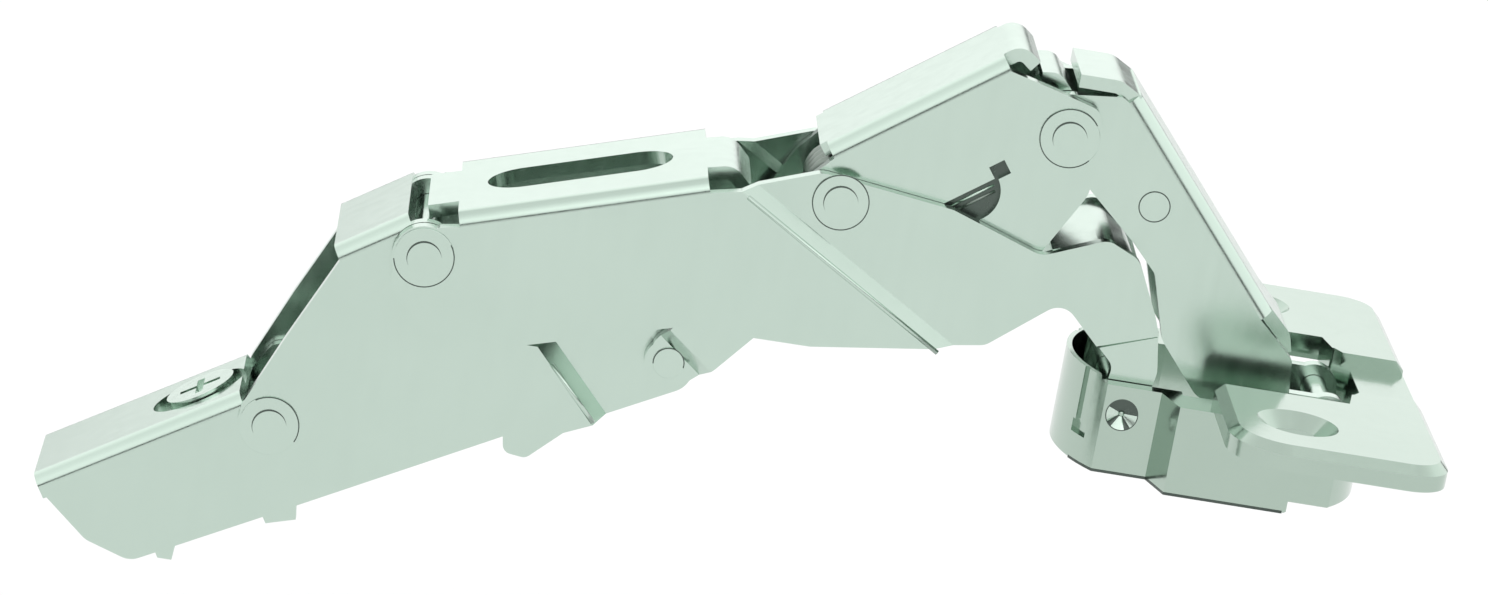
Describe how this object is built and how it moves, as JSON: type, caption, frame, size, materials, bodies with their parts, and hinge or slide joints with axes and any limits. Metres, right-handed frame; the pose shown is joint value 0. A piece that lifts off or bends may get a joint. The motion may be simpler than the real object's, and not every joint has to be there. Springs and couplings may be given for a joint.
{
  "type": "concealed hinge",
  "caption": "Wide-opening concealed cabinet hinge with a round cup, folding links and a clip-on arm, shown fully open.",
  "frame": {"origin": "on the cup's axis, at the door's surface, where the flange's underside lies", "axes": "+Z out of the cup's mouth, square to the door; +X from the cup towards the door's middle; Y along the hinge pins"},
  "size_m": [0.1527, 0.0678, 0.0751],
  "materials": {
    "cast_nickel": "nickel-plated zinc casting, satin",
    "sheet_nickel": "nickel-plated pressed steel sheet, satin",
    "rivet_steel": "plated steel rivet, smooth",
    "spring_steel": "spring steel wire, oiled",
    "guide_plastic": "grey nylon insert",
    "screw_steel": "nickel-plated screw"
  },
  "bodies": {
    "cup": {"cup_body": "cast_nickel", "main_lever_pin": "rivet_steel", "cup_lever_pin": "rivet_steel"},
    "main_lever": {"main_lever": "sheet_nickel", "rear_rivet": "rivet_steel", "middle_rivet": "rivet_steel", "closing_spring": "spring_steel"},
    "rear_link": {"rear_link": "sheet_nickel", "arm_rear_rivet": "rivet_steel"},
    "inner_link": {"inner_link": "sheet_nickel", "arm_front_rivet": "rivet_steel", "link_front_rivet": "rivet_steel", "spring_guide": "guide_plastic", "stop_strip": "sheet_nickel"},
    "cup_lever": {"cup_lever": "sheet_nickel", "lever_pin": "rivet_steel", "cam_roller": "rivet_steel"},
    "arm": {"hinge_arm": "sheet_nickel"},
    "depth_screw": {"depth_screw": "screw_steel"},
    "carrier": {"clip_carrier": "sheet_nickel", "latch_pin": "rivet_steel", "latch_spring": "spring_steel"},
    "latch": {"release_latch": "sheet_nickel"}
  },
  "joints": [
    {"name": "door_swing", "type": "hinge", "parent": "cup", "child": "main_lever", "pos_m": [-0.0114, 0, -0.0033], "axis": [0, -1, 0], "range_deg": [-115.8, 0]},
    {"name": "inner_link_turn", "type": "hinge", "parent": "main_lever", "child": "inner_link", "pos_m": [-0.0467, 0, 0.0156], "axis": [0, -1, 0], "range_deg": [-0.5, 107]},
    {"name": "rear_link_turn", "type": "hinge", "parent": "main_lever", "child": "rear_link", "pos_m": [-0.0912, 0, 0.0022], "axis": [0, -1, 0], "range_deg": [-0.5, 113.5]},
    {"name": "arm_turn", "type": "hinge", "parent": "inner_link", "child": "arm", "pos_m": [-0.0622, 0, -0.0068], "axis": [0, -1, 0], "range_deg": [-113, 0.5]},
    {"name": "cup_lever_turn", "type": "hinge", "parent": "cup", "child": "cup_lever", "pos_m": [0.012, 0, -0.0012], "axis": [0, -1, 0], "range_deg": [-102.5, 0.5]},
    {"name": "depth_screw_turn", "type": "hinge", "parent": "arm", "child": "depth_screw", "pos_m": [-0.11344, 0, -0.02061], "axis": [-0.5296, 0, 0.8482], "range_deg": [-45, 45]},
    {"name": "depth_slide", "type": "slide", "parent": "arm", "child": "carrier", "axis": [0.8482, 0, 0.5296], "range_m": [-0.0006, 0.0006]},
    {"name": "latch_release", "type": "hinge", "parent": "carrier", "child": "latch", "pos_m": [-0.1176, 0, -0.0334], "axis": [0, -1, 0], "range_deg": [-12, 0], "stiffness_Nm_per_rad": 0.02, "springref_deg": 5.73}
  ],
  "couplings": [
    {"joint": "inner_link_turn", "follows": "door_swing", "ratio": -0.9159},
    {"joint": "rear_link_turn", "follows": "door_swing", "ratio": -0.9734},
    {"joint": "arm_turn", "follows": "door_swing", "ratio": 0.9694},
    {"joint": "cup_lever_turn", "follows": "door_swing", "ratio": 0.8795},
    {"joint": "depth_slide", "follows": "depth_screw_turn", "m_per_rad": -0.00072}
  ]
}
